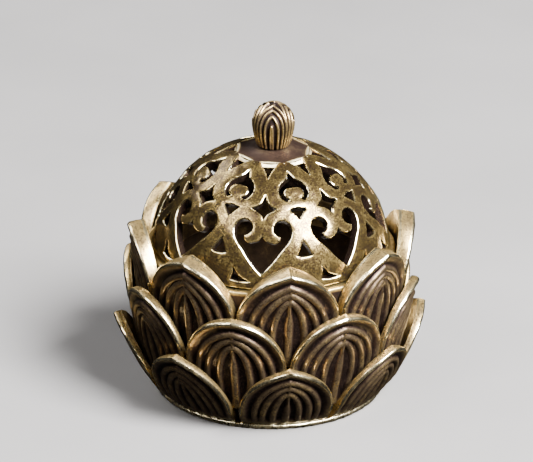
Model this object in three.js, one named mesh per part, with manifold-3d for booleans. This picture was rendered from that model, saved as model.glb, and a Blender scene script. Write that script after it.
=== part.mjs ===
// Lotus incense burner: a bowl clad in three rows of petals, under a pierced dome lid.
// Millimetres, +Z up. The origin is the centre of the base plate's underside. An azimuth is measured
// from -Y, the front, towards +X, and one petal of the lower and the upper row faces the front.
import * as THREE from 'three';
import { mergeVertices } from 'three/addons/utils/BufferGeometryUtils.js';
import Module from 'manifold-3d';

const wasm = await Module();
wasm.setup();

// Driving dimensions.
const GAP = 0.3;                    // between pieces that touch
const PETALS_PER_ROW = 8;
const PITCH = 360 / PETALS_PER_ROW; // degrees between neighbours in a row

const BASE_RADIUS = 16.4;
const BASE_THICKNESS = 0.9;
const BASE_CHAMFER = 0.25;

const BOWL_FOOT_Z = BASE_THICKNESS + GAP;
const BOWL_FOOT_RADIUS = 14.6;
const BOWL_RADIUS = 17.6;           // outside, at the mouth
const BOWL_WALL = 1.4;
const BOWL_FLOOR = 1.6;
const BOWL_BELLY_Z = 14;            // the wall is upright above this height
const BOWL_BELLY_POWER = 2.2;
const LEDGE_Z = 21.4;               // top of the bowl's wall, on which the lid rests

const DOME_RADIUS = 16.95;
const DOME_WALL = 1.2;
const DOME_CENTRE_Z = 19.75;
const DOME_RIM_Z = LEDGE_Z + GAP;
const LID_TURN = -PITCH / 2 + 9.6;  // azimuth of one heart, as the lid was last put down

const SEAT_RADIUS = 5.6;            // flat seat of the star plate, on the top of the dome
const SEAT_Z = 35.3;
const SEAT_THICKNESS = 1.2;

const PLATE_POINT_RADIUS = 5.2;
const PLATE_WAIST_RADIUS = 4.4;
const PLATE_THICKNESS = 0.8;

const BUD_HEIGHT = 6.2;
const BUD_FOOT_RADIUS = 2.35;
const BUD_RADIUS = 3.05;

const SCREW_RADIUS = 1.0;
const SCREW_HEAD_RADIUS = 2.0;
const SCREW_HEAD_HEIGHT = 1.0;
const SCREW_REACH = 3.2;            // how far the screw runs up inside the bud

const COLLAR_DEPTH = 2.9;           // how far the collar reaches down into the bowl
const COLLAR_WALL = 0.9;
const COLLAR_LIP = 0.9;             // how far it stands up inside the dome

const MAT_RADIUS = 12.7;
const MAT_THICKNESS = 2.5;

const RINGS = 32;                   // sides of the larger round pieces
const DOME_SIDES = 32;

const brass = (color, roughness) => new THREE.MeshStandardMaterial({ color, roughness, metalness: 1 });
const radians = THREE.MathUtils.degToRad;

// ---- closed meshes ----

// One body with shared corners and no empty triangles.
function welded(geometry) {
  geometry.deleteAttribute('normal');
  geometry.deleteAttribute('uv');
  const merged = mergeVertices(geometry, 1e-4);
  const index = merged.getIndex();
  const kept = [];
  for (let t = 0; t < index.count; t += 3) {
    const corners = [index.getX(t), index.getX(t + 1), index.getX(t + 2)];
    if (new Set(corners).size === 3) kept.push(...corners);
  }
  merged.setIndex(kept);
  return merged;
}

function toSolid(geometry) {
  const merged = welded(geometry);
  const vertProperties = new Float32Array(merged.attributes.position.array);
  const triVerts = new Uint32Array(merged.getIndex().array);
  return new wasm.Manifold(new wasm.Mesh({ numProp: 3, vertProperties, triVerts }));
}

function toGeometry(solid) {
  const { vertProperties, triVerts } = solid.getMesh();
  const geometry = new THREE.BufferGeometry();
  geometry.setAttribute('position', new THREE.BufferAttribute(vertProperties, 3));
  geometry.setIndex(new THREE.BufferAttribute(triVerts, 1));
  geometry.computeVertexNormals();
  return geometry;
}

// A body turned about Z from [radius, z] points, which run up the outside and back down the inside.
function turned(profile, sides) {
  const points = profile.map(([radius, z]) => new THREE.Vector2(radius, z));
  const geometry = new THREE.LatheGeometry(points, sides);
  geometry.rotateX(Math.PI / 2);
  return welded(geometry);
}

// A plate with two grids of corners as its faces, joined round the edge. Both faces are functions of
// (row, column), and rows run downwards.
function sheet(front, back, rows, columns) {
  const positions = [];
  const faces = [];
  const corner = (side, row, column) => (side * (rows + 1) + row) * (columns + 1) + column;
  const quad = (a, b, c, d) => faces.push(a, b, c, a, c, d);
  for (const face of [front, back]) {
    for (let row = 0; row <= rows; row++) {
      for (let column = 0; column <= columns; column++) positions.push(...face(row, column));
    }
  }
  for (let row = 0; row < rows; row++) {
    for (let column = 0; column < columns; column++) {
      quad(corner(0, row, column), corner(0, row + 1, column),
        corner(0, row + 1, column + 1), corner(0, row, column + 1));
      quad(corner(1, row, column), corner(1, row, column + 1),
        corner(1, row + 1, column + 1), corner(1, row + 1, column));
    }
    quad(corner(0, row, 0), corner(1, row, 0), corner(1, row + 1, 0), corner(0, row + 1, 0));
    quad(corner(0, row, columns), corner(0, row + 1, columns),
      corner(1, row + 1, columns), corner(1, row, columns));
  }
  for (let column = 0; column < columns; column++) {
    quad(corner(0, 0, column), corner(0, 0, column + 1), corner(1, 0, column + 1), corner(1, 0, column));
    quad(corner(0, rows, column), corner(1, rows, column),
      corner(1, rows, column + 1), corner(0, rows, column + 1));
  }
  const geometry = new THREE.BufferGeometry();
  geometry.setAttribute('position', new THREE.Float32BufferAttribute(positions, 3));
  geometry.setIndex(faces);
  geometry.computeVertexNormals();
  return geometry;
}

// ---- bowl and base ----

function bowlRadius(z) {
  const belly = THREE.MathUtils.clamp((z - BOWL_FOOT_Z) / (BOWL_BELLY_Z - BOWL_FOOT_Z), 0, 1);
  return BOWL_RADIUS - (BOWL_RADIUS - BOWL_FOOT_RADIUS) * (1 - belly) ** BOWL_BELLY_POWER;
}

function basePlate() {
  const edge = BASE_RADIUS - BASE_CHAMFER;
  return turned([
    [0, 0], [edge, 0], [BASE_RADIUS, BASE_CHAMFER],
    [BASE_RADIUS, BASE_THICKNESS - BASE_CHAMFER], [edge, BASE_THICKNESS], [0, BASE_THICKNESS],
  ], RINGS);
}

function bowl() {
  const floorZ = BOWL_FOOT_Z + BOWL_FLOOR;
  const heights = [0, 0.15, 0.35, 0.6, 1].map((part) => part * (BOWL_BELLY_Z - BOWL_FOOT_Z) + BOWL_FOOT_Z);
  const outside = heights.map((z) => [bowlRadius(z), z]);
  const inside = heights.slice(1).map((z) => [bowlRadius(z) - BOWL_WALL, z + BOWL_FLOOR / 2]);
  return turned([
    [0, BOWL_FOOT_Z], ...outside, [BOWL_RADIUS, LEDGE_Z], [BOWL_RADIUS - BOWL_WALL, LEDGE_Z],
    ...inside.reverse(), [bowlRadius(floorZ) - 2 * BOWL_WALL, floorZ], [0, floorZ],
  ], RINGS);
}

// ---- petals ----

const ARCH_HEIGHT = 9.2;            // a petal's outline is half an ellipse down to its widest level
const ARCH_HALF_WIDTH = 22.3;       // degrees; the upright sides cut the ellipse off before this width
const TIP_HALF_WIDTH = 0.25;        // degrees, because the tips are worn blunt
const PETAL_COLUMNS = 4;
const ARCH_STEPS = [0, 0.25, 0.9, 2, 3.6, 5.8];   // mesh rows below the tip, down to the corners

// tip and foot are [radius, z] on the outer face, halfWidth is in degrees, bulge is the power of the
// outer face's curve, rim is the free edge's thickness, grip is how high the petal is joined to the
// bowl, and rise is how far the inner edge stands above the outer one.
const petalRows = [
  { name: 'lower', turn: 0, tip: [22.5, 11.5], foot: [16.1, BOWL_FOOT_Z], halfWidth: 20.6, bulge: 0.64,
    rim: 1.3, grip: 0.1, rise: 0.3, color: 0xa08f66 },
  { name: 'middle', turn: PITCH / 2, tip: [21.5, 18.3], foot: [17.75, 5], halfWidth: 21.6, bulge: 0.8,
    rim: 1.25, grip: 0.15, rise: 0.3, color: 0xab9a70 },
  { name: 'upper', turn: 0, tip: [20.5, 25.3], foot: [18.3, 12], halfWidth: 21.6, bulge: 0.75,
    rim: 2.5, grip: 0.8, rise: 0.5, color: 0xb7a67b },
];

function petal({ tip, foot, halfWidth, bulge, rim, grip, rise }) {
  const [tipRadius, tipZ] = tip;
  const [footRadius, footZ] = foot;
  const corner = ARCH_STEPS.at(-1);
  const drops = [...ARCH_STEPS, (corner + tipZ - footZ) / 2, tipZ - footZ];
  const widthAt = (drop) => {
    const below = Math.min(1, drop / ARCH_HEIGHT);
    const arch = ARCH_HALF_WIDTH * Math.sqrt(1 - (1 - below) ** 2);
    return THREE.MathUtils.clamp(arch, TIP_HALF_WIDTH, halfWidth);
  };
  const outerRadius = (up) => footRadius + (tipRadius - footRadius) * up ** bulge;
  const point = (radius, azimuth, z) => [radius * Math.sin(azimuth), -radius * Math.cos(azimuth), z];
  const face = (inner) => (row, column) => {
    const z = tipZ - drops[row];
    const up = 1 - drops[row] / drops.at(-1);
    const azimuth = radians(widthAt(drops[row]) * (2 * column / PETAL_COLUMNS - 1));
    if (!inner) return point(outerRadius(up), azimuth, z);
    const joined = bowlRadius(z) + GAP;
    const free = Math.max(joined, outerRadius(up) - rim);
    const leave = THREE.MathUtils.smoothstep(up, grip, grip + 0.25);
    return point(THREE.MathUtils.lerp(joined, free, leave), azimuth, z + rise * up);
  };
  return sheet(face(false), face(true), drops.length - 1, PETAL_COLUMNS);
}

// ---- dome ----

// The lid's profile: a spherical shell, closed at the top by the flat seat of the star plate.
function domeShell() {
  const inside = DOME_RADIUS - DOME_WALL;
  const boss = SEAT_Z - SEAT_THICKNESS - DOME_CENTRE_Z;
  const arc = (radius, from, to, steps) => Array.from({ length: steps + 1 }, (_, i) => {
    const elevation = from + (to - from) * i / steps;
    return [radius * Math.cos(elevation), DOME_CENTRE_Z + radius * Math.sin(elevation)];
  });
  const rim = DOME_RIM_Z - DOME_CENTRE_Z;
  const outer = arc(DOME_RADIUS, Math.asin(rim / DOME_RADIUS), Math.acos(SEAT_RADIUS / DOME_RADIUS), 6);
  const inner = arc(inside, Math.asin(boss / inside), Math.asin(rim / inside), 5);
  const bore = SCREW_RADIUS + GAP;
  const profile = [...outer, [SEAT_RADIUS, SEAT_Z], [bore, SEAT_Z], [bore, SEAT_Z - SEAT_THICKNESS], ...inner];
  return turned([...profile, profile[0]], DOME_SIDES);
}

// Piercings of one eighth of the dome, as right-hand halves in [azimuth, elevation] degrees from the
// middle of a heart. Each is mirrored about its own azimuth.
const HEART = [[0, 13.8], [9.5, 24.6], [14, 28.3], [16.6, 33.5], [15.3, 38], [12, 39.6], [9, 39.2],
  [6.4, 37], [6, 34.5], [10.2, 31.6], [7.5, 28.4], [0, 31]];
const STAR = [[0, 39.9], [2.5, 42.5], [8.3, 45], [2.5, 48.2], [0, 52.4]];
const GUSSET = [[0, 22], [4.2, 22], [0, 29.3]];
const KITE = [[0, 39.9], [6.3, 44.7], [0, 46.5]];
const SPADE = [[0, 56.5], [5, 56.2], [8.2, 53.8], [4, 50], [7, 49.1], [11, 51.5], [12, 55.5], [8, 60],
  [0, 66.1]];
const WEDGE = [[0, 61.4], [11, 69], [0, 69]];
const piercings = [
  { half: HEART, at: 0 }, { half: STAR, at: 0 }, { half: WEDGE, at: 0 },
  { half: GUSSET, at: PITCH / 2 }, { half: KITE, at: PITCH / 2 }, { half: SPADE, at: PITCH / 2 },
];
const CORNER_HOLE = [[14, 16.6], [5.1, 10.1], [15, 10.6]];

// A wedge of space that points at the dome's centre and runs right through its wall.
function cutter(outline, azimuth) {
  const flat = outline.map(([a, e]) => new THREE.Vector2(a * Math.cos(radians(e)), e));
  const order = THREE.ShapeUtils.isClockWise(flat) ? [...outline].reverse() : outline;
  const corners = order.map(([a, e]) => new THREE.Vector2(a * Math.cos(radians(e)), e));
  const count = order.length;
  const positions = [];
  for (const radius of [DOME_RADIUS - 2.2 * DOME_WALL, DOME_RADIUS + 2 * DOME_WALL]) {
    for (const [a, e] of order) {
      const around = radians(azimuth + a);
      const level = radius * Math.cos(radians(e));
      const z = DOME_CENTRE_Z + radius * Math.sin(radians(e));
      positions.push(level * Math.sin(around), -level * Math.cos(around), z);
    }
  }
  const faces = [];
  for (const [a, b, c] of THREE.ShapeUtils.triangulateShape(corners, [])) {
    faces.push(a, c, b, a + count, b + count, c + count);
  }
  for (let i = 0; i < count; i++) {
    const next = (i + 1) % count;
    faces.push(i, next, next + count, i, next + count, i + count);
  }
  const geometry = new THREE.BufferGeometry();
  geometry.setAttribute('position', new THREE.Float32BufferAttribute(positions, 3));
  geometry.setIndex(faces);
  return toSolid(geometry);
}

const mirrored = (outline) => outline.map(([a, e]) => [-a, e]);
const wholeOutline = (half) => [...half, ...mirrored(half.filter(([a]) => a !== 0)).reverse()];

function dome() {
  let solid = toSolid(domeShell());
  for (let sector = 0; sector < PETALS_PER_ROW; sector++) {
    const heart = sector * PITCH;
    for (const { half, at } of piercings) solid = solid.subtract(cutter(wholeOutline(half), heart + at));
    solid = solid.subtract(cutter(CORNER_HOLE, heart));
    solid = solid.subtract(cutter(mirrored(CORNER_HOLE), heart));
  }
  return toGeometry(solid);
}

// ---- the lid's other pieces ----

function lidCollar() {
  const mouth = BOWL_RADIUS - BOWL_WALL - GAP;
  const lip = Math.sqrt((DOME_RADIUS - DOME_WALL) ** 2 - (DOME_RIM_Z + COLLAR_LIP - DOME_CENTRE_Z) ** 2) - GAP;
  const bottom = LEDGE_Z - COLLAR_DEPTH;
  const top = DOME_RIM_Z + COLLAR_LIP;
  const profile = [
    [mouth - COLLAR_WALL / 3, bottom], [mouth, bottom + COLLAR_WALL / 3], [mouth, LEDGE_Z], [lip, LEDGE_Z],
    [lip, top], [lip - COLLAR_WALL, top], [lip - COLLAR_WALL, bottom],
  ];
  return turned([...profile, profile[0]], RINGS);
}

function finialPlate() {
  const outline = new THREE.Shape();
  const at = (radius, degrees) => [radius * Math.sin(radians(degrees)), -radius * Math.cos(radians(degrees))];
  const pull = 2 * PLATE_WAIST_RADIUS - PLATE_POINT_RADIUS * Math.cos(radians(PITCH / 2));
  outline.moveTo(...at(PLATE_POINT_RADIUS, -PITCH / 2));
  for (let side = 0; side < PETALS_PER_ROW; side++) {
    outline.quadraticCurveTo(...at(pull, side * PITCH), ...at(PLATE_POINT_RADIUS, (side + 0.5) * PITCH));
  }
  const hole = new THREE.Path();
  hole.absarc(0, 0, SCREW_RADIUS + GAP, 0, 2 * Math.PI, true);
  outline.holes.push(hole);
  const geometry = new THREE.ExtrudeGeometry(outline, {
    depth: PLATE_THICKNESS, bevelEnabled: false, curveSegments: 4,
  });
  return welded(geometry);
}

// A lotus bud with a round top and a blind bore for the screw.
function finialBud() {
  const bore = SCREW_RADIUS + GAP;
  const crown = BUD_HEIGHT - BUD_RADIUS;
  const dome = [15, 35, 55, 75].map((elevation) => [
    BUD_RADIUS * Math.cos(radians(elevation)), crown + BUD_RADIUS * Math.sin(radians(elevation)),
  ]);
  return turned([
    [0, SCREW_REACH + GAP], [bore, SCREW_REACH + GAP], [bore, 0], [BUD_FOOT_RADIUS, 0],
    [BUD_RADIUS, crown], ...dome, [0, BUD_HEIGHT],
  ], 20);
}

function finialScrew() {
  const shank = SEAT_THICKNESS + PLATE_THICKNESS + 3 * GAP + SCREW_REACH;
  return turned([
    [0, -SCREW_HEAD_HEIGHT], [0.7 * SCREW_HEAD_RADIUS, -SCREW_HEAD_HEIGHT],
    [SCREW_HEAD_RADIUS, -0.4 * SCREW_HEAD_HEIGHT], [SCREW_HEAD_RADIUS, 0],
    [SCREW_RADIUS, 0], [SCREW_RADIUS, shank], [0, shank],
  ], 16);
}

// ---- mat ----

function fibreMat() {
  const soft = MAT_THICKNESS / 5;
  return turned([
    [0, 0], [MAT_RADIUS - soft, 0], [MAT_RADIUS, soft], [MAT_RADIUS, MAT_THICKNESS - soft],
    [MAT_RADIUS - soft, MAT_THICKNESS], [0, MAT_THICKNESS],
  ], RINGS);
}

// ---- assembly ----

function piece(name, geometry, material, z = 0) {
  const mesh = new THREE.Mesh(geometry, material);
  mesh.name = name;
  mesh.position.z = z;
  return mesh;
}

const body = new THREE.Group();
body.add(piece('base_plate', basePlate(), brass(0xc9b98a, 0.45)));
body.add(piece('bowl', bowl(), brass(0xb59a5c, 0.4)));
for (const row of petalRows) {
  for (let i = 0; i < PETALS_PER_ROW; i++) {
    const mesh = piece(`${row.name}_petal_${i + 1}`, petal(row), brass(row.color, 0.4));
    mesh.rotation.z = radians(row.turn + i * PITCH);
    body.add(mesh);
  }
}
const matFelt = new THREE.MeshStandardMaterial({ color: 0xe9e4d8, roughness: 1, metalness: 0 });
body.add(piece('fibre_mat', fibreMat(), matFelt, BOWL_FOOT_Z + BOWL_FLOOR + GAP));

const lid = new THREE.Group();
const plateZ = SEAT_Z + GAP;
const budZ = plateZ + PLATE_THICKNESS + GAP;
lid.add(piece('dome', dome(), brass(0xb8ab83, 0.35)));
lid.add(piece('lid_collar', lidCollar(), brass(0x9c8450, 0.4)));
lid.add(piece('finial_plate', finialPlate(), brass(0x8a7658, 0.3), plateZ));
lid.add(piece('finial_bud', finialBud(), brass(0xa8966b, 0.35), budZ));
lid.add(piece('finial_screw', finialScrew(), brass(0x8f7a4a, 0.4), SEAT_Z - SEAT_THICKNESS - GAP));
lid.rotation.z = radians(LID_TURN);

const burner = new THREE.Group();
burner.add(body, lid);
export default burner;
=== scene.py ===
import math

import bpy
import numpy as np
from mathutils import Matrix, Vector
from mathutils.geometry import delaunay_2d_cdt


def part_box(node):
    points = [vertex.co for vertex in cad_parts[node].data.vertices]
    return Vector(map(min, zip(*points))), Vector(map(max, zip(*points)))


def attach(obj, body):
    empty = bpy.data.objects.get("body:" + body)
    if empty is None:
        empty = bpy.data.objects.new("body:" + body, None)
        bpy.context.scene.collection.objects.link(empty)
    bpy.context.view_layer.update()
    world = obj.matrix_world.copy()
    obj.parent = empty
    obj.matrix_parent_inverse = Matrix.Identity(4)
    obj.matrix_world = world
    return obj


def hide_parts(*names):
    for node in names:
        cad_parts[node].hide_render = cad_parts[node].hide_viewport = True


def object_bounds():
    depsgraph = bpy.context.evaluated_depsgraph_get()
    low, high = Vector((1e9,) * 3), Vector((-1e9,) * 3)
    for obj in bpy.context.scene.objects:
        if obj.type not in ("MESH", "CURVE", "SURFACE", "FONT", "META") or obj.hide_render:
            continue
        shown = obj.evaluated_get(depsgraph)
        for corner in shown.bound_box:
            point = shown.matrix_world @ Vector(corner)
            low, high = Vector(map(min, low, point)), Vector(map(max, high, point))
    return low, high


# The looks of a lotus incense burner. Lengths are in metres, azimuths run from -Y (the front)
# towards +X, and one petal of the lower and the upper row faces the front.

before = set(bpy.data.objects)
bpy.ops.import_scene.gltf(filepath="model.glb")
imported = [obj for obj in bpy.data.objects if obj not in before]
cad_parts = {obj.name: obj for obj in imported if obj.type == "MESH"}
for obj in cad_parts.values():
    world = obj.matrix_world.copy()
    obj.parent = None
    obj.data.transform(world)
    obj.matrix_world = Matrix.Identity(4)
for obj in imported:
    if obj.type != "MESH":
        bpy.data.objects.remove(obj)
cad_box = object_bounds()

MM = 0.001
PETALS_PER_ROW = 8
PITCH = math.tau / PETALS_PER_ROW
GAP = 0.3 * MM                      # kept between pieces that touch
SCREW_BORE = 1.3 * MM               # radius of the hole for the screw in the dome, the plate and the bud


# ---- meshes from arrays ----

def polar(radius, azimuth, z):
    """Points (..., 3) at an azimuth from the front."""
    radius, azimuth, z = np.broadcast_arrays(radius, azimuth, z)
    return np.stack([radius * np.sin(azimuth), -radius * np.cos(azimuth), z], -1)


def smoothstep(x, low, high):
    t = np.clip((x - low) / (high - low), 0.0, 1.0)
    return t * t * (3.0 - 2.0 * t)


def grid_faces(rows, columns, wrap=False):
    """Quads over a grid of rows x columns points, wrapping round the columns if asked."""
    row, column = np.mgrid[0:rows - 1, 0:columns if wrap else columns - 1]
    right = (column + 1) % columns
    quads = [row * columns + column, (row + 1) * columns + column, (row + 1) * columns + right,
             row * columns + right]
    return np.stack(quads, -1).reshape(-1, 4)


def distance_to(points, line):
    """The distance from each point to an open line of points."""
    starts, steps = line[:-1], np.diff(line, axis=0)
    lengths = np.maximum((steps ** 2).sum(-1), 1e-18)
    nearest = np.full(len(points), np.inf)
    for start, step, length in zip(starts, steps, lengths):
        along = np.clip((points - start) @ step / length, 0.0, 1.0)
        gap = points - start - along[:, None] * step
        nearest = np.minimum(nearest, (gap ** 2).sum(-1))
    return np.sqrt(nearest)


class Roughness:
    """Smooth random bumps, as a cast surface has, from a sum of waves."""

    def __init__(self, seed, wavelength, waves=24):
        rng = np.random.default_rng(seed)
        direction = rng.normal(size=(waves, 3))
        direction /= np.linalg.norm(direction, axis=1)[:, None]
        self.waves = direction * math.tau / (wavelength * rng.uniform(0.6, 1.6, waves))[:, None]
        self.phases = rng.uniform(0, math.tau, waves)

    def __call__(self, points):
        shape = points.shape[:-1]
        flat = points.reshape(-1, 3)
        heights = np.sin(flat @ self.waves.T + self.phases).sum(-1)
        return (heights / math.sqrt(len(self.phases) / 2)).reshape(shape)


def make_piece(name, points, faces, looks, body, nodes, slot, sharp=35.0, **values):
    """A mesh object that rides a body and stands for CAD nodes. values are floats on its points."""
    mesh = bpy.data.meshes.new(name)
    mesh.from_pydata(points.reshape(-1, 3).tolist(), [], [list(map(int, face)) for face in faces])
    for key, value in values.items():
        layer = mesh.attributes.new(key, "FLOAT", "POINT")
        layer.data.foreach_set("value", np.asarray(value, np.float32).ravel())
    mesh.validate()
    mesh.polygons.foreach_set("use_smooth", [True] * len(mesh.polygons))
    mesh.set_sharp_from_angle(angle=math.radians(sharp))
    mesh.materials.append(looks)
    piece = bpy.data.objects.new(name, mesh)
    bpy.context.scene.collection.objects.link(piece)
    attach(piece, body)
    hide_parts(*nodes)
    return piece


def rounded(profile, radius, steps=4):
    """A closed [radius, z] profile with its corners rounded off. A corner's own radius may follow it."""
    made = []
    count = len(profile)
    for i in range(count):
        here = np.array(profile[i][:2], float)
        size = profile[i][2] if len(profile[i]) > 2 else radius
        before = np.array(profile[i - 1][:2], float) - here
        after = np.array(profile[(i + 1) % count][:2], float) - here
        reach = min(size, 0.45 * np.linalg.norm(before), 0.45 * np.linalg.norm(after))
        if reach < 1e-6 or here[0] < 1e-6:
            made.append(here)
            continue
        start = here + before / np.linalg.norm(before) * reach
        end = here + after / np.linalg.norm(after) * reach
        for t in np.linspace(0, 1, steps + 1):
            made.append((1 - t) ** 2 * start + 2 * t * (1 - t) * here + t * t * end)
    return np.array(made)


def divided(profile, longest):
    """A closed profile with points added, so that no stretch is longer than asked."""
    made = []
    for here, there in zip(profile, np.roll(profile, -1, axis=0)):
        on_axis = here[0] < 1e-9 and there[0] < 1e-9
        pieces = 1 if on_axis else max(1, math.ceil(np.linalg.norm(there - here) / longest))
        made += [here + (there - here) * i / pieces for i in range(pieces)]
    return np.array(made)


def turned(profile, sides):
    """Points and faces of a body turned about Z. A profile that closes along the axis starts and
    ends on it."""
    azimuths = np.linspace(0, math.tau, sides, endpoint=False)
    solid = profile[0][0] < 1e-9
    ring = profile[1:-1] if solid else profile
    points = polar(ring[:, :1], azimuths[None, :], ring[:, 1:2])
    rows = len(ring)
    faces = grid_faces(rows, sides, wrap=True).tolist()
    if not solid:
        last = np.arange(sides) + (rows - 1) * sides
        first = np.arange(sides)
        faces += np.stack([last, first, np.roll(first, -1), np.roll(last, -1)], -1).tolist()
        return points.reshape(-1, 3), faces
    ends = [[0, 0, profile[0][1]], [0, 0, profile[-1][1]]]
    bottom, top = rows * sides, rows * sides + 1
    for i in range(sides):
        after = (i + 1) % sides
        faces.append([bottom, i, after])
        faces.append([top, (rows - 1) * sides + after, (rows - 1) * sides + i])
    return np.vstack([points.reshape(-1, 3), ends]), faces


# ---- antique brass ----

def nodes_of(name):
    looks = bpy.data.materials.new(name)
    looks.use_nodes = True
    looks.node_tree.nodes.clear()
    return looks, looks.node_tree.nodes, looks.node_tree.links


def ramp(nodes, stops):
    node = nodes.new("ShaderNodeValToRGB")
    elements = node.color_ramp.elements
    elements[0].position, elements[0].color = stops[0][0], (*stops[0][1], 1.0)
    elements[1].position, elements[1].color = stops[-1][0], (*stops[-1][1], 1.0)
    for position, color in stops[1:-1]:
        elements.new(position).color = (*color, 1.0)
    return node


def maths(nodes, links, operation, *inputs, clamp=False):
    node = nodes.new("ShaderNodeMath")
    node.operation = operation
    node.use_clamp = clamp
    for socket, value in zip(node.inputs, inputs):
        if isinstance(value, (int, float)):
            socket.default_value = value
        else:
            links.new(value, socket)
    return node.outputs[0]


def noise(nodes, links, place, size, detail=3.0, rough=0.55):
    """A noise value whose lumps are about this size, in metres."""
    node = nodes.new("ShaderNodeTexNoise")
    node.inputs["Scale"].default_value = 1.0 / size
    node.inputs["Detail"].default_value = detail
    node.inputs["Roughness"].default_value = rough
    links.new(place, node.inputs["Vector"])
    return node.outputs["Fac"]


DARK = (0.006, 0.0035, 0.003)
BROWN = (0.032, 0.019, 0.014)
OLIVE = (0.130, 0.092, 0.050)
GOLD = (0.60, 0.42, 0.15)
CREAM = (0.92, 0.80, 0.50)


def antique_brass(name, stops, rough_low, rough_high, grain, speckle, patina=0.25):
    """Brass whose recesses are dark and whose crests are polished, by the mesh's own 'relief' value: 0 is
    the bottom of a groove and 1 is a polished edge. Low values also serve as painted shade on the hidden
    inner surfaces of the lid and bowl, and a high one as a painted highlight on the bowl's brim."""
    looks, nodes, links = nodes_of(name)
    place = nodes.new("ShaderNodeTexCoord").outputs["Object"]
    relief = nodes.new("ShaderNodeAttribute")
    relief.attribute_name = "relief"
    cloud = noise(nodes, links, place, 2.2 * MM, 4.0)
    grit = noise(nodes, links, place, 0.21 * MM, 3.0, 0.7)
    fleck = noise(nodes, links, place, 0.25 * MM, 2.0, 0.5)

    wander = maths(nodes, links, "MULTIPLY", maths(nodes, links, "SUBTRACT", cloud, 0.5), patina * 2)
    sand = maths(nodes, links, "MULTIPLY", maths(nodes, links, "SUBTRACT", grit, 0.5), speckle)
    # The tone's level: the mesh's polish and patina, with painted shade on the hidden inner surfaces and a
    # painted highlight on the bowl's brim, plus noise.
    wear_and_shade = maths(nodes, links, "ADD", maths(nodes, links, "ADD", relief.outputs["Fac"], wander), sand,
                 clamp=True)
    tone = ramp(nodes, stops)
    links.new(wear_and_shade, tone.inputs["Fac"])

    pits = nodes.new("ShaderNodeMapRange")
    pits.inputs["From Min"].default_value = 0.54
    pits.inputs["From Max"].default_value = 0.62
    links.new(fleck, pits.inputs["Value"])
    pitted = maths(nodes, links, "MULTIPLY", pits.outputs["Result"], min(1.0, speckle * 1.6))
    stain = nodes.new("ShaderNodeMix")
    stain.data_type = "RGBA"
    links.new(pitted, stain.inputs["Factor"])
    links.new(tone.outputs["Color"], stain.inputs["A"])
    stain.inputs["B"].default_value = (*BROWN, 1.0)

    shader = nodes.new("ShaderNodeBsdfPrincipled")
    shader.inputs["Specular IOR Level"].default_value = 0.2
    links.new(stain.outputs["Result"], shader.inputs["Base Color"])
    metal = nodes.new("ShaderNodeMapRange")
    metal.inputs["To Min"].default_value = 0.75
    metal.inputs["To Max"].default_value = 1.0
    links.new(wear_and_shade, metal.inputs["Value"])
    links.new(metal.outputs["Result"], shader.inputs["Metallic"])
    gloss = nodes.new("ShaderNodeMapRange")
    gloss.inputs["To Min"].default_value = rough_high
    gloss.inputs["To Max"].default_value = rough_low
    links.new(wear_and_shade, gloss.inputs["Value"])
    uneven = maths(nodes, links, "MULTIPLY", maths(nodes, links, "SUBTRACT", grit, 0.5), 0.22)
    links.new(maths(nodes, links, "ADD", gloss.outputs["Result"], uneven, clamp=True),
              shader.inputs["Roughness"])
    bump = nodes.new("ShaderNodeBump")
    bump.inputs["Strength"].default_value = 1.0
    bump.inputs["Distance"].default_value = grain
    links.new(grit, bump.inputs["Height"])
    links.new(bump.outputs["Normal"], shader.inputs["Normal"])
    output = nodes.new("ShaderNodeOutputMaterial")
    links.new(shader.outputs["BSDF"], output.inputs["Surface"])
    return looks


PETAL_TONES = [(0.0, DARK), (0.25, BROWN), (0.5, OLIVE), (0.75, GOLD), (1.0, CREAM)]
DOME_TONES = [(0.0, DARK), (0.22, BROWN), (0.5, (0.072, 0.049, 0.017)), (0.8, (0.62, 0.44, 0.15)),
              (1.0, CREAM)]
GOLD_TONES = [(0.0, DARK), (0.25, (0.05, 0.03, 0.016)), (0.6, (0.40, 0.27, 0.09)),
              (1.0, (0.85, 0.66, 0.30))]

petal_brass = antique_brass("petal_brass", PETAL_TONES, 0.20, 0.44, 0.012 * MM, 0.45)
dome_brass = antique_brass("dome_brass", DOME_TONES, 0.13, 0.30, 0.009 * MM, 0.70, 0.28)
finial_brass = antique_brass("finial_brass", PETAL_TONES, 0.20, 0.48, 0.008 * MM, 0.3)
star_brass = antique_brass("star_brass", PETAL_TONES, 0.46, 0.5, 0.010 * MM, 0.3)
bowl_brass = antique_brass("bowl_brass", GOLD_TONES, 0.28, 0.6, 0.012 * MM, 0.3)
base_brass = antique_brass("base_brass", PETAL_TONES, 0.26, 0.6, 0.02 * MM, 0.5)
inner_brass = antique_brass("inner_brass", GOLD_TONES, 0.3, 0.5, 0.006 * MM, 0.2)


# ---- petals ----

BURNER_RADIUS = cad_box[1][0]
ARCH_HEIGHT = 9.2 * MM              # a petal's outline is half an ellipse down to its widest level
TIP_HALF_WIDTH = math.radians(0.35)
PEAK_WIDTH = math.radians(6)        # over which the point stands out of the ellipse
RIM_CREST = 0.34 * MM               # from the outline to the bright crest of the rim
COVE_WIDTH = 1.55 * MM              # from the outline to the foot of the cove inside the rim
RELIEF_DEPTH = 0.55 * MM
RIB_HALF_WIDTH = 0.58 * MM
RIB_HEIGHT = 0.42 * MM
FRONT_COLUMNS = 105
BACK_COLUMNS = 15
EDGE_COLUMNS = 7
FINE_ROW = 0.13 * MM

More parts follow.
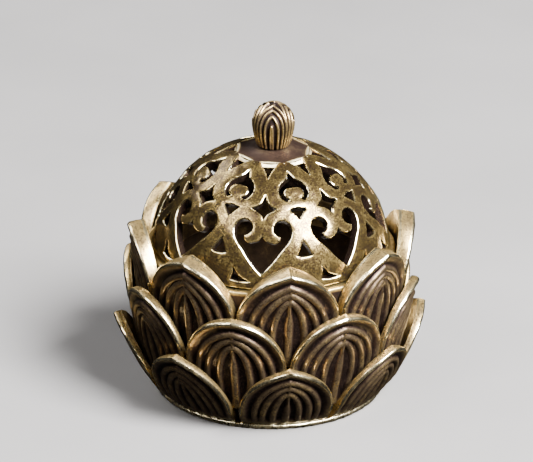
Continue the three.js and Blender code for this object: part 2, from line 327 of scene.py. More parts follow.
# For each row of petals, from the bottom up: the turn in petals, the ellipse's half width in degrees,
# how far its point stands out, the tip's distance inside the burner's radius, the foot's radius, the
# power of the outward curve, the free edge's thickness, how far up it is joined to the bowl, how far
# its inner edge stands above the outer one, how far its foot reaches below the solid's, the width of
# its ribs against the middle row's, how far their arches are pointed and what share of the free
# edge's thickness is lost further down. Lengths here and in RIBS are in millimetres.
PETAL_ROWS = {
    "lower": dict(turn=0.0, arch=21.5, limit=21.0, point=0.8, inset=0.0, foot=16.1, bulge=0.64, rim=1.3,
                  grip=0.1, rise=0.3, sink=0.28, ribs=0.88, rib_point=0.6, taper=0.2),
    "middle": dict(turn=0.5, arch=22.6, limit=22.0, point=0.15, inset=1.0, foot=17.75, bulge=0.8,
                   rim=1.25, grip=0.15, rise=0.3, sink=1.3, ribs=1.0, rib_point=0.5, taper=0.25),
    "upper": dict(turn=0.0, arch=23.6, limit=22.0, point=0.6, inset=2.0, foot=18.3, bulge=0.75, rim=2.5,
                  grip=0.8, rise=0.5, sink=1.3, ribs=1.02, rib_point=1.0, taper=0.45),
}
RIBS = [dict(start=4.25, half_width=6.8, reach=5.5), dict(start=3.15, half_width=12.3, reach=6.6),
        dict(start=2.1, half_width=16.4, reach=6.9)]
LENS_START = 5.6
CROWN = 0.15 * MM                   # how far a petal's sides fall back
RISE_LENGTH = 2.4 * MM              # over which the inner edge comes down to the outer one's level
KEEL = 0.40 * MM                    # how far its middle stands forward at the tip
KEEL_LENGTH = 3.2 * MM              # over which the keel dies away below the tip
EDGE_SWELL = 0.10 * MM              # how far a petal's edge face is rounded
BELLY_TOP = 14 * MM                 # the level from which the bowl draws in towards its foot
BELLY_DEPTH = 3.0 * MM


def bowl_radius(z):
    low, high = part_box("bowl")
    belly = np.clip((z - low.z) / (BELLY_TOP - low.z), 0, 1)
    return high.x - BELLY_DEPTH * (1 - belly) ** 2.2


def arch_drop(azimuth, width, height, point):
    """How far a pointed half ellipse has come down at an azimuth."""
    ellipse = height * (1 - np.sqrt(1 - (azimuth / width) ** 2))
    return ellipse + point * (1 - np.exp(-azimuth / PEAK_WIDTH))


class PetalShape:
    """The surfaces of one row's petal, facing the front, as functions of the drop below its tip."""

    def __init__(self, name, spec):
        low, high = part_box(f"{name}_petal_1")
        self.spec = spec
        self.rise = spec["rise"] * MM
        self.limit = math.radians(spec["limit"])
        self.tip_z = high.z - self.rise
        self.height = self.tip_z - low.z + spec["sink"] * MM
        self.tip_radius = BURNER_RADIUS - spec["inset"] * MM
        self.foot_radius = spec["foot"] * MM

    def half_width(self, drop):
        arch = math.radians(self.spec["arch"])
        azimuth = arch * np.sin(np.linspace(0, math.pi / 2, 80))
        level = arch_drop(azimuth, arch, ARCH_HEIGHT, self.spec["point"] * MM)
        width = np.interp(drop, level, azimuth)
        soft = math.radians(0.5)
        width = -soft * np.log(np.exp(-width / soft) + np.exp(-self.limit / soft))
        return np.maximum(width, TIP_HALF_WIDTH)

    def front(self, drop, azimuth):
        up = np.clip(1 - drop / self.height, 0, 1)
        radius = self.foot_radius + (self.tip_radius - self.foot_radius) * up ** self.spec["bulge"]
        across = azimuth / self.limit
        radius = radius - CROWN * across ** 2 * smoothstep(up, 0.1, 0.6)
        keel = KEEL * np.exp(-drop / KEEL_LENGTH) * (np.sqrt(across ** 2 + 0.004) - 0.063)
        return radius - keel

    def back(self, drop, azimuth):
        up = np.clip(1 - drop / self.height, 0, 1)
        joined = bowl_radius(self.tip_z - drop) + GAP
        thin = 1 - self.spec["taper"] * smoothstep(drop, 0.4 * MM, 5.5 * MM)
        free = np.maximum(joined, self.front(drop, azimuth) - self.spec["rim"] * thin * MM)
        return joined + (free - joined) * smoothstep(up, self.spec["grip"], self.spec["grip"] + 0.25)


def rib_line(shape, rib, side):
    """One arch rib, from the middle of the petal out and down to its foot, as points on the front."""
    width = math.radians(rib["half_width"] * shape.spec["ribs"])
    azimuth = width * np.sin(np.linspace(0, math.pi / 2, 48))
    drop = arch_drop(azimuth, width, rib["reach"] * MM, shape.spec["rib_point"] * MM) + rib["start"] * MM
    azimuth = np.append(azimuth, 0.94 * width)
    drop = np.append(drop, max(shape.height, drop[-1]))
    return polar(shape.front(drop, 0), side * azimuth, shape.tip_z - drop)


def edge_distance(shape, flat):
    """The distance of points on the front to the petal's outline."""
    drop = np.concatenate([np.linspace(0, 7 * MM, 70), [shape.height]])
    edge = shape.half_width(drop)
    nearest = np.full(len(flat), np.inf)
    for side in (-1, 1):
        line = polar(shape.front(drop, side * edge), side * edge, shape.tip_z - drop)
        nearest = np.minimum(nearest, distance_to(flat, line))
    return nearest


def rib_height(shape, flat, drop, azimuth):
    """The ribs' height over the bottom of the relief, from 0 in the grooves to 1 on a crest."""
    across = np.abs(azimuth) * np.linalg.norm(flat[:, :2], axis=1)

    def crest(gap, half_width):
        return 1 - np.clip(gap / half_width, 0, 3) ** 2.2

    height = np.full(len(flat), -1.0)
    for rib in RIBS:
        for side in (-1, 1):
            gap = distance_to(flat, rib_line(shape, rib, side))
            height = np.maximum(height, crest(gap, RIB_HALF_WIDTH))
    lens = 0.68 * MM * np.sqrt(np.clip((drop - LENS_START * MM) / (2.2 * MM), 1e-4, 1))
    height = np.maximum(height, np.where(drop > LENS_START * MM, crest(across, lens), -1))
    on_spine = (drop > RIBS[-1]["start"] * MM) & (drop < (LENS_START + 0.6) * MM)
    return np.maximum(height, np.where(on_spine, 0.9 * crest(across, 0.32 * MM), -1))


def relief_of(shape, points, drop, azimuth):
    """Height of the relief over the petal's plain front, and how polished it is there."""
    flat = points.reshape(-1, 3)
    drop, azimuth = drop.ravel(), azimuth.ravel()
    edge_gap = edge_distance(shape, flat)
    cove = smoothstep(edge_gap, 0.7 * RIM_CREST, COVE_WIDTH)
    ground = -0.26 * MM * np.clip(1 - edge_gap / RIM_CREST, 0, 1) ** 2 - RELIEF_DEPTH * cove
    foot = smoothstep(shape.height - drop, 0, 1.4 * MM)
    fade = smoothstep(foot, 0, 0.7)
    ground = ground * foot
    ribs = rib_height(shape, flat, drop, azimuth)
    ridges = (RIB_HEIGHT * ribs - RELIEF_DEPTH) * foot
    height = np.maximum(ground, ridges)

    crest = 1 - smoothstep(edge_gap, 0.8 * RIM_CREST, 1.5 * RIM_CREST)
    slope = 0.50 * smoothstep(1 + ground / RELIEF_DEPTH, 0.02, 0.8)
    polish_and_shade = np.maximum(slope, 0.46 * smoothstep(ribs * fade, -0.05, 0.75))
    polish_and_shade = np.maximum(polish_and_shade, crest)
    return height.reshape(points.shape[:-1]), polish_and_shade.reshape(points.shape[:-1])


def petal_loops(shape):
    """Loops of points round the petal, from tip to foot, with the polish of each point."""
    fine = np.arange(0.02 * MM, min(10.5 * MM, shape.height), FINE_ROW)
    coarse = np.linspace(fine[-1] + 0.3 * MM, shape.height, 5)
    drop = np.concatenate([fine, coarse])[:, None]
    half = shape.half_width(drop)

    azimuth = half * np.linspace(-1, 1, FRONT_COLUMNS)[None, :]
    plain = polar(shape.front(drop, azimuth), azimuth, shape.tip_z - drop)
    normal = np.cross(np.gradient(plain, axis=0), np.gradient(plain, axis=1))
    normal /= np.linalg.norm(normal, axis=-1)[..., None]
    height, polish_and_shade = relief_of(shape, plain, np.broadcast_to(drop, azimuth.shape), azimuth)
    front = plain + normal * height[..., None]

    lift = shape.rise * np.exp(-drop / RISE_LENGTH)
    back_azimuth = half * np.linspace(1, -1, BACK_COLUMNS)[None, :]
    back = polar(shape.back(drop, back_azimuth), back_azimuth, shape.tip_z - drop + lift)

    t = np.linspace(0, 1, EDGE_COLUMNS + 2)[1:-1]
    swell = np.sin(np.pi * t)[:, None] * EDGE_SWELL * np.array([0, 0, 1.0])
    t = t[None, :, None]
    right = front[:, -1:] * (1 - t) + back[:, :1] * t + swell
    left = back[:, -1:] * (1 - t) + front[:, :1] * t + swell
    loops = np.concatenate([front, right, back, left], axis=1)

    inner_edge = np.linspace(0, 1, EDGE_COLUMNS)
    face = np.tile(0.62 + 0.36 * np.clip(inner_edge * 4 - 3, 0, 1), (len(drop), 1))
    back_polish = np.full(back.shape[:2], 0.55)
    polish_and_shade = np.concatenate([polish_and_shade, face, back_polish, face[:, ::-1]], axis=1)
    return loops, polish_and_shade


def petal_row(name, spec):
    shape = PetalShape(name, spec)
    loops, polish_and_shade = petal_loops(shape)
    rows, columns = loops.shape[:2]
    faces = grid_faces(rows, columns, wrap=True)[:, ::-1].tolist()
    faces.append(list(range(columns)))
    faces.append([(rows - 1) * columns + i for i in reversed(range(columns))])
    for i in range(PETALS_PER_ROW):
        rotation = np.array(Matrix.Rotation((i + spec["turn"]) * PITCH, 3, "Z"))
        points = loops @ rotation.T
        bumps = Roughness(100 * list(PETAL_ROWS).index(name) + i, 1.6 * MM)(points) * 0.018 * MM
        outward = points * np.array([1, 1, 0])
        outward /= np.linalg.norm(outward, axis=-1)[..., None]
        points = points + outward * bumps[..., None]
        make_piece(f"{name}_lotus_petal_{i + 1}", points, faces, petal_brass, "burner",
                   [f"{name}_petal_{i + 1}"], "brass_petal", relief=polish_and_shade)


for row_name, row_spec in PETAL_ROWS.items():
    petal_row(row_name, row_spec)


# ---- dome ----

LID_TURN = math.radians(-12.9)      # azimuth of one heart, as the lid was last put down
DOME_LOW, DOME_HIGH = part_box("dome")
RIM_ELEVATION = math.radians(6.6)
DOME_RADIUS = DOME_HIGH.x / math.cos(RIM_ELEVATION)
DOME_WALL = 1.2 * MM
DOME_CENTRE_Z = DOME_LOW.z - DOME_RADIUS * math.sin(RIM_ELEVATION)
SEAT_RADIUS = 5.2 * MM
SEAT_THICKNESS = 1.2 * MM
TOP_ELEVATION = math.acos(SEAT_RADIUS / DOME_RADIUS)
EDGE_WIDTH = 0.17 * MM              # of the polished edge round a piercing
EDGE_DEPTH = 0.12 * MM
LIP_DEPTH = 0.12 * MM               # from that edge down to the dark wall of the piercing
OUTLINE_STEP = 0.13 * MM
FACE_STEP = 0.5 * MM

# Piercings of a sixteenth of the dome, as stretches of smooth curve between corners, in degrees of
# azimuth and elevation. Those in the first list straddle the middle of a heart and those in the
# second the bar between two hearts, so each is a right-hand half.
HEART = [[(0, 13.8), (5.5, 19.4), (10.5, 25.2), (14.2, 28.8), (16.3, 32.4), (16.5, 35.6), (14.9, 38.3),
          (12, 39.5), (9, 39.2), (6.7, 37.4), (6.1, 34.7), (7.6, 32.8), (10.2, 31.6)],
         [(10.2, 31.6), (9.6, 29.8), (7.3, 28.5), (4.4, 29), (1.8, 30), (0, 32)]]
STAR = [[(0, 39.9), (2.6, 42.8), (8.3, 45)], [(8.3, 45), (2.6, 47.9), (0, 52.4)]]
WEDGE = [[(0, 61.4), (3.8, 66.2), (13, 72.0)], [(13, 72.0), (0, 72.0)]]
CORNER = [[(14, 16.6), (10.4, 12.6), (5.1, 10.1)], [(5.1, 10.1), (10, 9.8), (15, 10.4)],
          [(15, 10.4), (14.1, 13.4), (14, 16.6)]]
GUSSET = [[(0, 21.9), (2.6, 22), (4.1, 22.6)], [(4.1, 22.6), (2.3, 25.9), (0, 29.2)]]
KITE = [[(0, 39.9), (2.8, 42.4), (5.9, 44.9)], [(5.9, 44.9), (3, 45.2), (0, 45.8)]]
SPADE = [[(0, 56.5), (5.6, 56), (8.2, 53.8), (7.1, 51.3), (4, 50)],
         [(4, 50), (7, 49.1), (10.7, 51.2), (12.1, 55), (9.6, 58.6), (4.4, 61.6), (0, 66.1)]]
AT_HEART = [HEART, STAR, WEDGE, CORNER]
AT_BAR = [GUSSET, KITE, SPADE]


def on_lid(points):
    """Points turned with the lid, as it was last put down."""
    return points @ np.array(Matrix.Rotation(LID_TURN, 3, "Z")).T


def mercator(around, elevation):
    return np.stack([around, np.arctanh(np.sin(elevation))], -1)


def on_dome(flat, radius):
    """Points of the dome in space for points (..., 2) of its flat map."""
    elevation = np.arcsin(np.tanh(flat[..., 1]))
    return polar(radius * np.cos(elevation), flat[..., 0], DOME_CENTRE_Z + radius * np.sin(elevation))


def smooth_curve(points, step):
    """A curve through points, the end ones included, resampled evenly."""
    points = np.array(points, float)
    ends = [2 * points[0] - points[1], *points, 2 * points[-1] - points[-2]]
    if len(points) > 2:
        ends[0] = points[0] + (points[0] - points[1]) * 0.6
        ends[-1] = points[-1] + (points[-1] - points[-2]) * 0.6
    made = []
    for a, b, c, d in zip(ends, ends[1:], ends[2:], ends[3:]):
        for t in np.linspace(0, 1, 16, endpoint=False):
            made.append(0.5 * (2 * b + (c - a) * t + (2 * a - 5 * b + 4 * c - d) * t ** 2
                               + (3 * b - a - 3 * c + d) * t ** 3))
    made = np.array([*made, points[-1]])
    place = on_dome(made, DOME_RADIUS)
    length = np.concatenate([[0], np.cumsum(np.linalg.norm(np.diff(place, axis=0), axis=1))])
    even = np.linspace(0, length[-1], max(2, round(length[-1] / step)) + 1)
    return np.stack([np.interp(even, length, made[:, i]) for i in range(2)], -1)


def piercing(stretches, from_bar):
    """A piercing's line of points on the flat map of the sixteenth, from end to end."""
    line = []
    for stretch in stretches:
        angles = np.radians(np.array(stretch, float))
        around = PITCH / 2 - angles[:, 0] if from_bar else angles[:, 0]
        line.append(smooth_curve(mercator(around, angles[:, 1]), OUTLINE_STEP))
    return np.vstack([line[0]] + [part[1:] for part in line[1:]])


def inside(points, polygon):
    """Whether each point is inside a closed polygon."""
    x, y = points[:, 0], points[:, 1]
    found = np.zeros(len(points), bool)
    for (ax, ay), (bx, by) in zip(polygon, np.roll(polygon, -1, axis=0)):
        crosses = (ay > y) != (by > y)
        level = (bx - ax) * (y - ay) / np.where(by == ay, 1, by - ay) + ax
        found ^= crosses & (x < level)
    return found


def sixteenth():
    """The flat map of one sixteenth: its points, its triangles and each point's distance to an edge."""
    lines = [piercing(shape, False) for shape in AT_HEART] + [piercing(shape, True) for shape in AT_BAR]
    low = mercator(0, RIM_ELEVATION)[1]
    high = mercator(0, TOP_ELEVATION)[1]
    wide = PITCH / 2
    rim = np.stack([np.linspace(0, wide, 24), np.full(24, low)], -1)
    top = np.stack([np.linspace(0, wide, 16), np.full(16, high)], -1)
    edges = lines + [rim]

    def edge_gap(flat):
        place = on_dome(flat, DOME_RADIUS)
        gap = np.full(len(flat), np.inf)
        for line in edges:
            gap = np.minimum(gap, distance_to(place, on_dome(line, DOME_RADIUS)))
        return gap

    extra = []
    for offset in (0.5 * EDGE_WIDTH, EDGE_WIDTH):
        for line in edges:
            along = np.gradient(line, axis=0)
            normal = np.stack([-along[:, 1], along[:, 0]], -1) / np.linalg.norm(along, axis=1)[:, None]
            scale = offset / (DOME_RADIUS / np.cosh(line[:, 1]))[:, None]
            for side in (-1, 1):
                near = line + side * normal * scale
                extra.append(near[edge_gap(near) > 0.97 * offset])
    step = FACE_STEP / DOME_RADIUS
    x, y = np.meshgrid(np.arange(0, wide, step), np.arange(low, high, step * 0.87))
    x = x + step / 2 * (np.arange(len(x)) % 2)[:, None]
    grid = np.stack([x.ravel(), y.ravel()], -1)
    extra.append(grid[edge_gap(grid) > EDGE_WIDTH + 0.2 * MM])
    sides = []
    for around in (0.0, wide):
        level = np.arange(low, high, step * 0.6)
        column = np.stack([np.full(len(level), around), level], -1)
        sides.append(column[edge_gap(column) > 0.5 * EDGE_WIDTH])
    extra = np.vstack(extra)
    clear = (extra[:, 0] > 0.1 * step) & (extra[:, 0] < wide - 0.1 * step)
    clear &= (extra[:, 1] > low + 0.05 * step) & (extra[:, 1] < high - 0.05 * step)
    extra = np.vstack([extra[clear], *sides])

    points, constraints = [], []
    for line in lines + [rim, top]:
        first = len(points)
        points += line.tolist()
        constraints += [(first + i, first + i + 1) for i in range(len(line) - 1)]
    points += extra.tolist()
    made = delaunay_2d_cdt([Vector(p) for p in points], constraints, [], 0, 1e-7)
    flat = np.array([list(p) for p in made[0]])
    triangles = np.array([list(face) for face in made[2]])
    middle = flat[triangles].mean(axis=1)
    open_space = np.zeros(len(triangles), bool)
    for line in lines:
        open_space |= inside(middle, line)
    return flat, triangles[~open_space], edge_gap(flat)


def whole_dome(flat, triangles, gap):
    """The map of all sixteen parts, joined where they meet."""
    points, faces, gaps = [], [], []
    for sector in range(PETALS_PER_ROW):
        for mirror in (1, -1):
            base = len(points) * len(flat)
            turned_map = flat * np.array([mirror, 1]) + np.array([sector * PITCH, 0])
            points.append(turned_map)
            faces.append(triangles[:, ::mirror] + base)
            gaps.append(gap)
    points, faces, gaps = np.vstack(points), np.vstack(faces), np.concatenate(gaps)
    places = np.round(on_dome(points, DOME_RADIUS) / (0.002 * MM)).astype(np.int64)
    _, first, same = np.unique(places, axis=0, return_index=True, return_inverse=True)
    faces = same.ravel()[faces]
    sound = (faces[:, 0] != faces[:, 1]) & (faces[:, 1] != faces[:, 2]) & (faces[:, 2] != faces[:, 0])
    return points[first], faces[sound], gaps[first]


def boundary_of(faces):
    """The directed edges that only one triangle has."""
    edges = np.vstack([faces[:, [0, 1]], faces[:, [1, 2]], faces[:, [2, 0]]])
    known = {(a, b) for a, b in edges.tolist()}
    return np.array([(a, b) for a, b in known if (b, a) not in known])


def pierced_dome():
    flat, faces, gap = whole_dome(*sixteenth())
    used, faces = np.unique(faces, return_inverse=True)
    faces = faces.reshape(-1, 3)
    flat, gap = flat[used], gap[used]
    near = np.clip(1 - gap / EDGE_WIDTH, 0, 1)
    outer = on_dome(flat, DOME_RADIUS - EDGE_DEPTH * near ** 2.2)
    inner = on_dome(flat, DOME_RADIUS - DOME_WALL)
    outer += (outer - [0, 0, DOME_CENTRE_Z]) * (Roughness(7, 1.8 * MM)(outer) * 0.0009)[:, None]
    count = len(outer)
    edge = boundary_of(faces)
    rim = np.unique(edge)
    lip = on_dome(flat[rim], DOME_RADIUS - EDGE_DEPTH - LIP_DEPTH)
    points = np.vstack([outer, inner, lip])
    points[:, 2] = np.maximum(points[:, 2], DOME_LOW.z)
    below = 2 * count + np.searchsorted(rim, edge)
    lips = np.stack([edge[:, 1], edge[:, 0], below[:, 0], below[:, 1]], -1)
    walls = np.stack([below[:, 1], below[:, 0], edge[:, 0] + count, edge[:, 1] + count], -1)
    all_faces = faces.tolist() + (faces[:, ::-1] + count).tolist() + lips.tolist() + walls.tolist()
    face_polish = 0.50 + 0.5 * (1 - smoothstep(gap, 0.45 * EDGE_WIDTH, 1.25 * EDGE_WIDTH))

    seat_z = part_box("finial_plate")[0].z - GAP
    bore = SCREW_BORE
    seat = np.array([[bore, seat_z - SEAT_THICKNESS], [SEAT_RADIUS - 0.1 * MM, seat_z - SEAT_THICKNESS],
                     [SEAT_RADIUS - 0.15 * MM, seat_z], [bore, seat_z]])
    seat_points, seat_faces = turned(divided(seat, 0.8 * MM), 96)
    all_faces += [[corner + len(points) for corner in face] for face in seat_faces]
    # The inner face's low level (0.12) is painted shade inside the lid; the piercings' walls run down to it
    # and darken with it.
    polish_and_shade = np.concatenate([face_polish, np.full(count, 0.12), np.full(len(rim), 0.2),
                             np.full(len(seat_points), 0.25)])
    make_piece("pierced_dome", on_lid(np.vstack([points, seat_points])), all_faces, dome_brass, "lid",
               ["dome"], "brass_dome", relief=polish_and_shade)


pierced_dome()


# ---- the lid's other pieces ----

def round_piece(name, profile, sides, looks, body, nodes, slot, polish_and_shade=0.5, rough=0.0):
    """A turned piece with a slightly uneven surface."""
    points, faces = turned(divided(profile, 0.6 * MM), sides)
    points = points + rough * np.stack([Roughness(seed, 0.9 * MM)(points) for seed in (11, 12, 13)], -1)
    level = polish_and_shade(points) if callable(polish_and_shade) else np.full(len(points), polish_and_shade)
    return make_piece(name, points, faces, looks, body, nodes, slot, relief=level)


def finial_plate():
    """An eight-pointed star with hollow sides, a bright rim and a smooth dark top that rises to the bud."""
    low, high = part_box("finial_plate")
    point = 6.0 * MM
    waist = 5.4 * MM
    bore = SCREW_BORE
    pull = 2 * waist - point * math.cos(PITCH / 2)
    t = np.linspace(0, 1, 24, endpoint=False)[:, None]
    outline = []
    for side in range(PETALS_PER_ROW):
        start = polar(point, (side - 0.5) * PITCH, 0)
        end = polar(point, (side + 0.5) * PITCH, 0)
        outline.append((1 - t) ** 2 * start + 2 * t * (1 - t) * polar(pull, side * PITCH, 0) + t * t * end)
    outline = np.vstack(outline)
    reach = np.linalg.norm(outline, axis=1)

    # Steps up and over the rim, and in to the bud: distance inside the outline, height and polish.
    steps = [(0.15, -0.55, 0.6), (0.0, -0.34, 0.9), (0.04, -0.26, 1.0), (0.30, 0.0, 1.0), (0.52, 0.19, 1.0),
             (0.65, 0.23, 1.0), (0.77, 0.20, 0.6), (0.90, 0.15, 0.28), (1.5, 0.26, 0.22), (2.3, 0.52, 0.22),
             (2.9, 0.80, 0.28)]
    loops = []
    for inset, up, _ in steps:
        circle = smoothstep(inset, 0.9, 1.7) * (waist - reach)
        loops.append(outline * (1 + (circle - inset * MM) / reach)[:, None] + [0, 0, low.z + up * MM])
    inner = outline / reach[:, None] * bore
    loops += [inner + [0, 0, high.z], inner + [0, 0, low.z]]
    points = np.array(loops)
    level = np.repeat([polish_and_shade for _, _, polish_and_shade in steps] + [0.2, 0.2], len(outline))
    rows, columns = points.shape[:2]
    faces = grid_faces(rows + 1, columns, wrap=True)[:, ::-1] % (rows * columns)
    make_piece("finial_star", on_lid(points.reshape(-1, 3)), faces.tolist(), star_brass, "lid",
               ["finial_plate"], "brass_finial", relief=level)


# The bud's arches, from its core out, in degrees: the azimuth of their legs and the elevation of
# their tops on the bud's round end. The first is filled and the last are the four corners.
BUD_ARCHES = [(3.2, 8), (20.5, 37), (34, 56), (45, 75)]
BUD_RIB = 0.255 * MM
BUD_GROOVE = 0.34 * MM
BUD_BORE_DEPTH = 3.5 * MM


def finial_bud():
    """A lotus bud with four ribbed faces."""
    low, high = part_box("finial_bud")
    radius = high.x
    foot = 2.35 * MM
    crown = high.z - radius
    length = crown - low.z
    round_end = radius * math.pi / 2
    arc = np.concatenate([np.arange(0.04 * MM, round_end, 0.075 * MM),
                          np.arange(round_end, round_end + length, 0.09 * MM), [round_end + length]])
    angle = np.minimum(arc / radius, math.pi / 2)
    down = np.maximum(arc - round_end, 0) / length
    level = np.where(arc < round_end, crown + radius * np.cos(angle), crown - down * length)
    reach = np.where(arc < round_end, radius * np.sin(angle), radius - (radius - foot) * down ** 1.7)
    columns = 34
    azimuth = np.linspace(0, math.pi / 4, columns)
    surface = polar(reach[:, None], azimuth[None, :], level[:, None])
    flat = surface.reshape(-1, 3)

    height = np.full(len(flat), -1.0)
    for leg, top in BUD_ARCHES:
        start = math.radians(90 - top) * radius
        way = np.linspace(start, round_end + length, 90)
        across = math.radians(leg) * (1 - np.exp(-(way - start) / (0.8 * MM)))
        way_level = np.interp(way, arc, level)
        way_reach = np.interp(way, arc, reach)
        line = polar(way_reach, across, way_level)
        gap = distance_to(flat, line)
        if leg == BUD_ARCHES[0][0]:
            here = np.interp(np.repeat(arc, columns), way, across, left=-1)
            gap = np.where(np.tile(azimuth, len(arc)) < here, 0.55 * BUD_RIB, gap)
        height = np.maximum(height, 1 - np.clip(gap / BUD_RIB, 0, 2) ** 2.4)
    height = np.clip(height, -0.1, 1).reshape(surface.shape[:2])
    octants = [np.concatenate([height[:, :-1], height[:, :0:-1]], axis=1)] * 4
    height = np.concatenate(octants, axis=1)
    around = np.linspace(0, math.tau, height.shape[1], endpoint=False)
    sunk = BUD_GROOVE * (1 - height) * np.clip(arc / (0.5 * MM), 0, 1)[:, None]
    normal_out = np.where(arc < round_end, np.sin(angle), 1)[:, None]
    normal_up = np.where(arc < round_end, np.cos(angle), 0)[:, None]
    skin = polar(reach[:, None] - sunk * normal_out, around[None, :], level[:, None] - sunk * normal_up)
    bore = SCREW_BORE
    inner = [(bore + 0.3 * MM, low.z), (bore, low.z + 0.1 * MM), (bore, low.z + BUD_BORE_DEPTH)]
    hollow = np.array([polar(r, around, z) for r, z in inner])
    points = np.vstack([skin.reshape(-1, 3), hollow.reshape(-1, 3),
                        [[0, 0, high.z], [0, 0, low.z + BUD_BORE_DEPTH]]])
    rows = len(skin) + len(hollow)
    count = len(around)
    faces = grid_faces(rows, count, wrap=True).tolist()
    top, bottom = rows * count, rows * count + 1
    for i in range(count):
        after = (i + 1) % count
        faces.append([top, i, after])
        faces.append([bottom, (rows - 1) * count + after, (rows - 1) * count + i])
    ribs = 0.58 * smoothstep(height, -0.1, 0.9)
    polish_and_shade = np.concatenate([ribs.ravel(), np.full(hollow.shape[0] * count, 0.2), [0.6, 0.2]])
    make_piece("lotus_bud", on_lid(points), faces, finial_brass, "lid", ["finial_bud"], "brass_finial",
               sharp=60, relief=polish_and_shade)


COLLAR_LIP_RADIUS = 15.19 * MM      # of the collar's upper part, just inside the dome
COLLAR_WALL = 0.9 * MM


def lid_fittings():
    """The collar and the screw inside the lid."""
    low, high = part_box("lid_collar")
    mouth, lip, wall = high.x, COLLAR_LIP_RADIUS, COLLAR_WALL
    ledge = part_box("bowl")[1].z
    profile = rounded([[mouth - 0.3 * MM, low.z], [mouth, low.z + 0.3 * MM], [mouth, ledge], [lip, ledge],
                       [lip, high.z], [lip - wall, high.z], [lip - wall, low.z]], 0.15 * MM)
    # The collar's low level (0.3) is painted shade inside the lid, seen through the piercings.
    round_piece("collar_ring", profile, 128, inner_brass, "lid_ring", ["lid_collar"], "brass_inner", 0.3,
                0.006 * MM)
    low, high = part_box("finial_screw")
    head, shank = high.x, 1.0 * MM
    under = low.z + 1.0 * MM
    profile = rounded([[0, low.z], [0.75 * head, low.z, 0.5 * MM], [head, low.z + 0.45 * MM, 0.2 * MM],
                       [head, under], [shank, under], [shank, high.z], [0, high.z]], 0.12 * MM)
    round_piece("clamp_screw", profile, 48, inner_brass, "lid", ["finial_screw"], "brass_inner", 0.6)


finial_plate()
finial_bud()
lid_fittings()


# ---- bowl, base and mat ----

def bowl():
    low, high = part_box("bowl")
    wall, floor = 1.4 * MM, 1.6 * MM
    height = np.linspace(low.z, high.z, 24)
    outside = [[bowl_radius(z), z] for z in height]
    inside_z = np.linspace(high.z, low.z + floor, 20)
    inner = [[bowl_radius(z - floor / 2) - wall, z] for z in inside_z]
    inner[-1][0] -= 1.2 * MM
    profile = rounded([[0, low.z], *outside, *inner, [0, low.z + floor]], 0.22 * MM)

    # The bowl's outside, seen between the petals, and its inside are darkened as painted shade, and its
    # brim is polished metal brightened further as a painted highlight.
    def polish_and_shade(points):
        reach = np.linalg.norm(points[:, :2], axis=1)
        brim_polish_and_highlight = smoothstep(points[:, 2], high.z - 0.5 * MM, high.z - 0.1 * MM)
        within = reach < high.x - 0.9 * wall
        plain = np.where(within, 0.2, 0.1)
        return plain + (0.95 - plain) * brim_polish_and_highlight

    round_piece("bowl_body", profile, 160, bowl_brass, "burner", ["bowl"], "brass_bowl", polish_and_shade, 0.012 * MM)


def base_plate():
    low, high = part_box("base_plate")
    edge = high.x
    profile = rounded([[0, low.z], [edge - 0.25 * MM, low.z], [edge, low.z + 0.3 * MM],
                       [edge, high.z - 0.2 * MM], [edge - 0.35 * MM, high.z], [0, high.z]], 0.2 * MM)

    def polish_and_shade(points):
        reach = np.linalg.norm(points[:, :2], axis=1)
        return 0.48 + 0.5 * smoothstep(reach, edge - 0.6 * MM, edge - 0.3 * MM)

    round_piece("foot_plate", profile, 240, base_brass, "burner", ["base_plate"], "brass_base", polish_and_shade,
                0.022 * MM)


def felt_looks():
    looks, nodes, links = nodes_of("fibre_felt")
    place = nodes.new("ShaderNodeTexCoord").outputs["Object"]
    stretch = nodes.new("ShaderNodeMapping")
    stretch.inputs["Scale"].default_value = (1.0, 0.25, 1.0)
    links.new(place, stretch.inputs["Vector"])
    fibre = noise(nodes, links, stretch.outputs["Vector"], 0.16 * MM, 5.0, 0.7)
    tuft = noise(nodes, links, place, 1.1 * MM, 4.0)
    tone = ramp(nodes, [(0.3, (0.20, 0.17, 0.13)), (0.5, (0.36, 0.33, 0.28)), (0.75, (0.46, 0.44, 0.40))])
    mixed = maths(nodes, links, "ADD", maths(nodes, links, "MULTIPLY", fibre, 0.5),
                  maths(nodes, links, "MULTIPLY", tuft, 0.5))
    links.new(mixed, tone.inputs["Fac"])
    shader = nodes.new("ShaderNodeBsdfPrincipled")
    links.new(tone.outputs["Color"], shader.inputs["Base Color"])
    shader.inputs["Roughness"].default_value = 0.95
    shader.inputs["Sheen Weight"].default_value = 0.3
    bump = nodes.new("ShaderNodeBump")
    bump.inputs["Distance"].default_value = 0.08 * MM
    links.new(mixed, bump.inputs["Height"])
    links.new(bump.outputs["Normal"], shader.inputs["Normal"])
    output = nodes.new("ShaderNodeOutputMaterial")
    links.new(shader.outputs["BSDF"], output.inputs["Surface"])
    return looks


def fibre_mat():
    low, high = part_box("fibre_mat")
    profile = rounded([[0, low.z], [high.x, low.z, 0.7 * MM], [high.x, high.z, 0.8 * MM], [0, high.z]],
                      0.7 * MM, 8)
    points, faces = turned(divided(profile, 0.35 * MM), 180)
    outward = points - [0, 0, (low.z + high.z) / 2]
    outward /= np.maximum(np.linalg.norm(outward, axis=1), 1e-9)[:, None]
    lumps = Roughness(31, 1.5 * MM)(points) * 0.04 * MM + Roughness(32, 0.5 * MM)(points) * 0.02 * MM
    points = points + outward * lumps[:, None]
    mat = make_piece("felt_mat", points, faces, felt_looks(), "mat", ["fibre_mat"], "fibre",
                     relief=np.full(len(points), 0.5))


bowl()
base_plate()
fibre_mat()


# ---- stage, light and camera ----

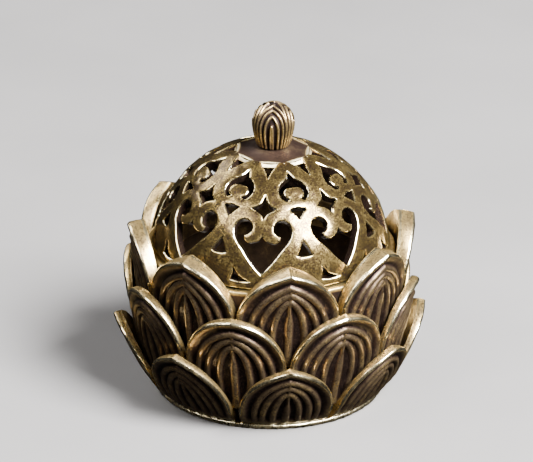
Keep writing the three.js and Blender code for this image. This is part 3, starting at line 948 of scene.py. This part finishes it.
def stage():
    floor_looks, nodes, links = nodes_of("pale_floor")
    place = nodes.new("ShaderNodeTexCoord").outputs["Object"]
    tone = ramp(nodes, [(0.3, (0.115, 0.111, 0.109)), (0.7, (0.131, 0.126, 0.124))])
    links.new(noise(nodes, links, place, 40 * MM), tone.inputs["Fac"])
    shader = nodes.new("ShaderNodeBsdfPrincipled")
    links.new(tone.outputs["Color"], shader.inputs["Base Color"])
    shader.inputs["Roughness"].default_value = 0.9
    output = nodes.new("ShaderNodeOutputMaterial")
    links.new(shader.outputs["BSDF"], output.inputs["Surface"])
    size = 3.0
    mesh = bpy.data.meshes.new("floor")
    corners = [(-size, -size, 0), (size, -size, 0), (size, size, 0), (-size, size, 0)]
    mesh.from_pydata(corners, [], [(0, 1, 2, 3)])
    mesh.materials.append(floor_looks)
    floor = bpy.data.objects.new("floor", mesh)
    bpy.context.scene.collection.objects.link(floor)
    floor.visible_glossy = False    # the polished metal doesn't mirror the pale floor


def softbox(name, azimuth, elevation, distance, width, height, power):
    """A rectangular light that faces the burner. The angles are in degrees."""
    lamp = bpy.data.lights.new(name, "AREA")
    lamp.shape = "RECTANGLE"
    lamp.size = width
    lamp.size_y = height
    lamp.energy = power
    light = bpy.data.objects.new(name, lamp)
    a, e = math.radians(azimuth), math.radians(elevation)
    away = Vector((math.sin(a) * math.cos(e), -math.cos(a) * math.cos(e), math.sin(e)))
    target = Vector((0, 0, 0.02))
    light.location = target + away * distance
    light.rotation_mode = "QUATERNION"
    light.rotation_quaternion = away.to_track_quat("Z", "Y")
    bpy.context.scene.collection.objects.link(light)


CAMERA_AZIMUTH = math.radians(-7.92)
CAMERA_ELEVATION = math.radians(23.78)
CAMERA_DISTANCE = 0.5935
CAMERA_AIM_Z = 23.23 * MM
CAMERA_AIM_LEFT = 0.694 * MM        # the burner stands a little to the right of the view's centre
CAMERA_ROLL = math.radians(1.0)
SENSOR_WIDTH = 36.0
LENS = 283.73


def camera():
    back = Vector((math.sin(CAMERA_AZIMUTH) * math.cos(CAMERA_ELEVATION),
                   -math.cos(CAMERA_AZIMUTH) * math.cos(CAMERA_ELEVATION), math.sin(CAMERA_ELEVATION)))
    right = Vector((math.cos(CAMERA_AZIMUTH), math.sin(CAMERA_AZIMUTH), 0))
    data = bpy.data.cameras.new("camera")
    data.sensor_width = SENSOR_WIDTH
    data.lens = LENS
    data.clip_start = 0.01
    data.clip_end = 20
    view = bpy.data.objects.new("camera", data)
    view.location = Vector((0, 0, CAMERA_AIM_Z)) - right * CAMERA_AIM_LEFT + back * CAMERA_DISTANCE
    view.rotation_mode = "QUATERNION"
    roll = Matrix.Rotation(CAMERA_ROLL, 3, "Z").to_quaternion()
    view.rotation_quaternion = back.to_track_quat("Z", "Y") @ roll
    bpy.context.scene.collection.objects.link(view)
    bpy.context.scene.camera = view


stage()
softbox("key", 41, 46, 0.6, 0.28, 0.32, 60.0)
softbox("fill", -66, 50, 0.7, 0.36, 0.3, 5.5)
softbox("back", 222, 40, 0.8, 0.45, 0.35, 5.0)
world = bpy.data.worlds.new("studio")
world.use_nodes = True
world.node_tree.nodes["Background"].inputs["Color"].default_value = (0.30, 0.29, 0.30, 1)
world.node_tree.nodes["Background"].inputs["Strength"].default_value = 0.07
bpy.context.scene.world = world
camera()
